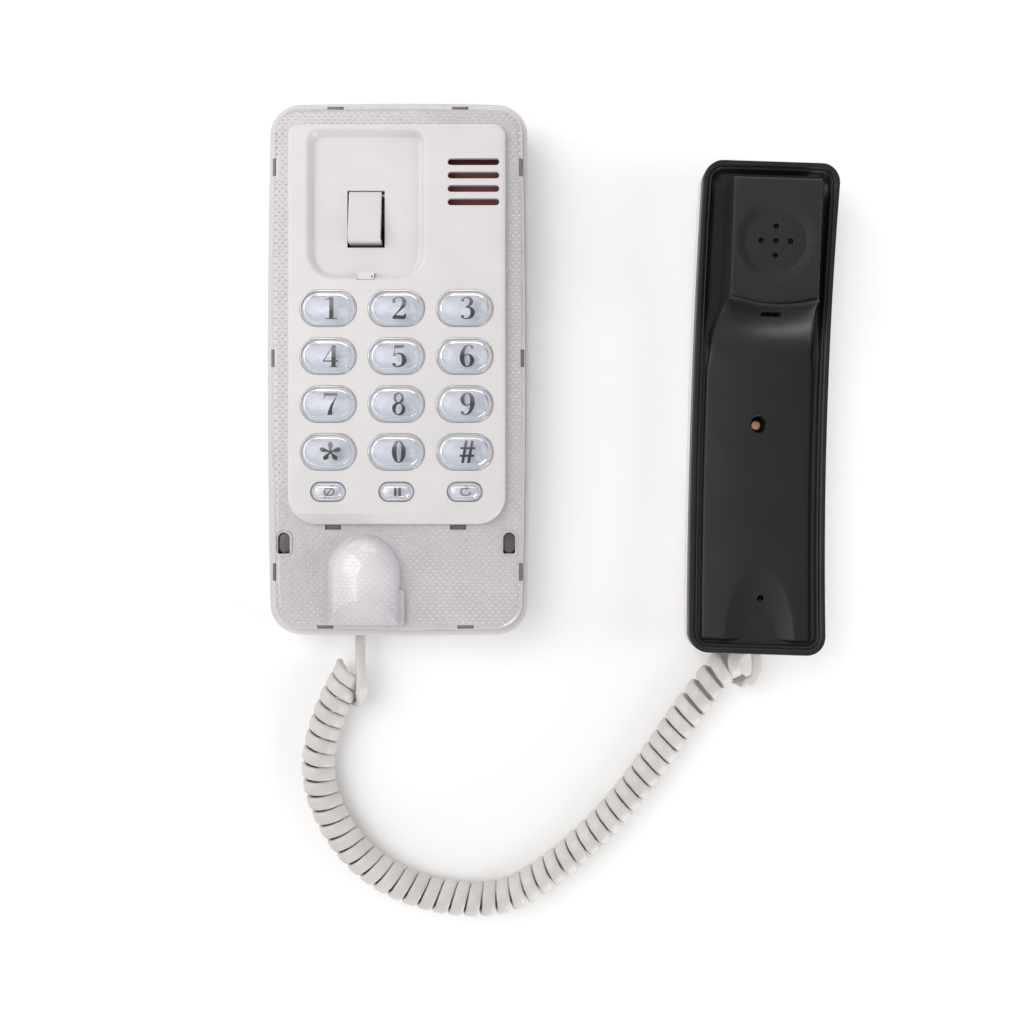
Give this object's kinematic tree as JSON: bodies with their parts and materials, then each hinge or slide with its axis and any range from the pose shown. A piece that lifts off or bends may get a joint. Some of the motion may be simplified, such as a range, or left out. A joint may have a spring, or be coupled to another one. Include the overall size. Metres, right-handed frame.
{
  "type": "slimline wall phone",
  "caption": "Slimline wall telephone with a push-button keypad, a receiver rest with switch lever, and a curved handset on a curly cord.",
  "frame": {"origin": "the point of the base's flat back face midway between its two keyholes; the back lies on the surface", "axes": "+Z out of the phone's face, +Y towards the phone's top, +X to the right of someone facing the keypad"},
  "size_m": [0.2195, 0.3176, 0.0371],
  "materials": {
    "white_shell": "satin moulded",
    "clear_prism": "clear, with a fine prism texture",
    "clear_key": "clear polished over a printed legend",
    "black_shell": "satin, leather grain on the receiver pad",
    "soft_rubber": "matte",
    "circuit_board": "matte",
    "components": "matte",
    "ribbon": "matte",
    "steel": "plain",
    "speaker": "matte",
    "jack_plastic": "matte",
    "clear_plug": "clear",
    "cord_white": "soft vinyl, slightly glossy",
    "copper_screw": "copper-coloured plating"
  },
  "bodies": {
    "base": {"rear_floor": "white_shell", "rear_wall": "white_shell", "rear_posts": "white_shell", "clear_cover": "clear_prism", "face_plate": "white_shell", "keypad_membrane": "soft_rubber", "keypad_board": "circuit_board", "line_board": "circuit_board", "board_components": "components", "keypad_ribbon": "ribbon", "board_screws": "steel", "case_screws": "steel", "hook_pin": "steel", "hook_spring": "steel", "hook_switch": "components", "ringer_speaker": "speaker", "handset_jack": "jack_plastic", "line_jack": "jack_plastic", "plug_base_end": "clear_plug", "cord_tail_base": "cord_white", "curly_cord": "cord_white"},
    "handset": {"handset_outer_shell": "white_shell", "handset_inner_shell": "black_shell", "receiver_capsule": "speaker", "receiver_gasket": "soft_rubber", "mic_capsule": "steel", "mic_boot": "soft_rubber", "handset_weight": "steel", "handset_screw": "copper_screw", "handset_cord_jack": "jack_plastic", "plug_handset_end": "clear_plug", "cord_tail_handset": "cord_white"},
    "hook_lever": {"hook_lever": "white_shell"},
    "hanger_tab": {"hanger_tab": "white_shell"},
    "key_1": {"key_1": "clear_key"},
    "key_2": {"key_2": "clear_key"},
    "key_3": {"key_3": "clear_key"},
    "key_4": {"key_4": "clear_key"},
    "key_5": {"key_5": "clear_key"},
    "key_6": {"key_6": "clear_key"},
    "key_7": {"key_7": "clear_key"},
    "key_8": {"key_8": "clear_key"},
    "key_9": {"key_9": "clear_key"},
    "key_star": {"key_star": "clear_key"},
    "key_0": {"key_0": "clear_key"},
    "key_hash": {"key_hash": "clear_key"},
    "key_mute": {"key_mute": "clear_key"},
    "key_pause": {"key_pause": "clear_key"},
    "key_redial": {"key_redial": "clear_key"}
  },
  "joints": [
    {"name": "handset_lift", "type": "slide", "parent": "base", "child": "handset", "axis": [0, 0, 1], "range_m": [0, 0.08]},
    {"name": "hook_lever_pivot", "type": "hinge", "parent": "base", "child": "hook_lever", "pos_m": [-0.012, 0.0665, 0.023], "axis": [1, 0, 0], "range_deg": [0, 12], "stiffness_Nm_per_rad": 0.02, "springref_deg": -14.32, "deforming": ["hook_spring"]},
    {"name": "hanger_tab_slide", "type": "slide", "parent": "base", "child": "hanger_tab", "axis": [0, 1, 0], "range_m": [0, 0.0022]},
    {"name": "key_1_press", "type": "slide", "parent": "base", "child": "key_1", "axis": [0, 0, -1], "range_m": [0, 0.0015], "stiffness_N_per_m": 100, "springref_m": -0.003},
    {"name": "key_2_press", "type": "slide", "parent": "base", "child": "key_2", "axis": [0, 0, -1], "range_m": [0, 0.0015], "stiffness_N_per_m": 100, "springref_m": -0.003},
    {"name": "key_3_press", "type": "slide", "parent": "base", "child": "key_3", "axis": [0, 0, -1], "range_m": [0, 0.0015], "stiffness_N_per_m": 100, "springref_m": -0.003},
    {"name": "key_4_press", "type": "slide", "parent": "base", "child": "key_4", "axis": [0, 0, -1], "range_m": [0, 0.0015], "stiffness_N_per_m": 100, "springref_m": -0.003},
    {"name": "key_5_press", "type": "slide", "parent": "base", "child": "key_5", "axis": [0, 0, -1], "range_m": [0, 0.0015], "stiffness_N_per_m": 100, "springref_m": -0.003},
    {"name": "key_6_press", "type": "slide", "parent": "base", "child": "key_6", "axis": [0, 0, -1], "range_m": [0, 0.0015], "stiffness_N_per_m": 100, "springref_m": -0.003},
    {"name": "key_7_press", "type": "slide", "parent": "base", "child": "key_7", "axis": [0, 0, -1], "range_m": [0, 0.0015], "stiffness_N_per_m": 100, "springref_m": -0.003},
    {"name": "key_8_press", "type": "slide", "parent": "base", "child": "key_8", "axis": [0, 0, -1], "range_m": [0, 0.0015], "stiffness_N_per_m": 100, "springref_m": -0.003},
    {"name": "key_9_press", "type": "slide", "parent": "base", "child": "key_9", "axis": [0, 0, -1], "range_m": [0, 0.0015], "stiffness_N_per_m": 100, "springref_m": -0.003},
    {"name": "key_star_press", "type": "slide", "parent": "base", "child": "key_star", "axis": [0, 0, -1], "range_m": [0, 0.0015], "stiffness_N_per_m": 100, "springref_m": -0.003},
    {"name": "key_0_press", "type": "slide", "parent": "base", "child": "key_0", "axis": [0, 0, -1], "range_m": [0, 0.0015], "stiffness_N_per_m": 100, "springref_m": -0.003},
    {"name": "key_hash_press", "type": "slide", "parent": "base", "child": "key_hash", "axis": [0, 0, -1], "range_m": [0, 0.0015], "stiffness_N_per_m": 100, "springref_m": -0.003},
    {"name": "key_mute_press", "type": "slide", "parent": "base", "child": "key_mute", "axis": [0, 0, -1], "range_m": [0, 0.0015], "stiffness_N_per_m": 100, "springref_m": -0.003},
    {"name": "key_pause_press", "type": "slide", "parent": "base", "child": "key_pause", "axis": [0, 0, -1], "range_m": [0, 0.0015], "stiffness_N_per_m": 100, "springref_m": -0.003},
    {"name": "key_redial_press", "type": "slide", "parent": "base", "child": "key_redial", "axis": [0, 0, -1], "range_m": [0, 0.0015], "stiffness_N_per_m": 100, "springref_m": -0.003}
  ]
}
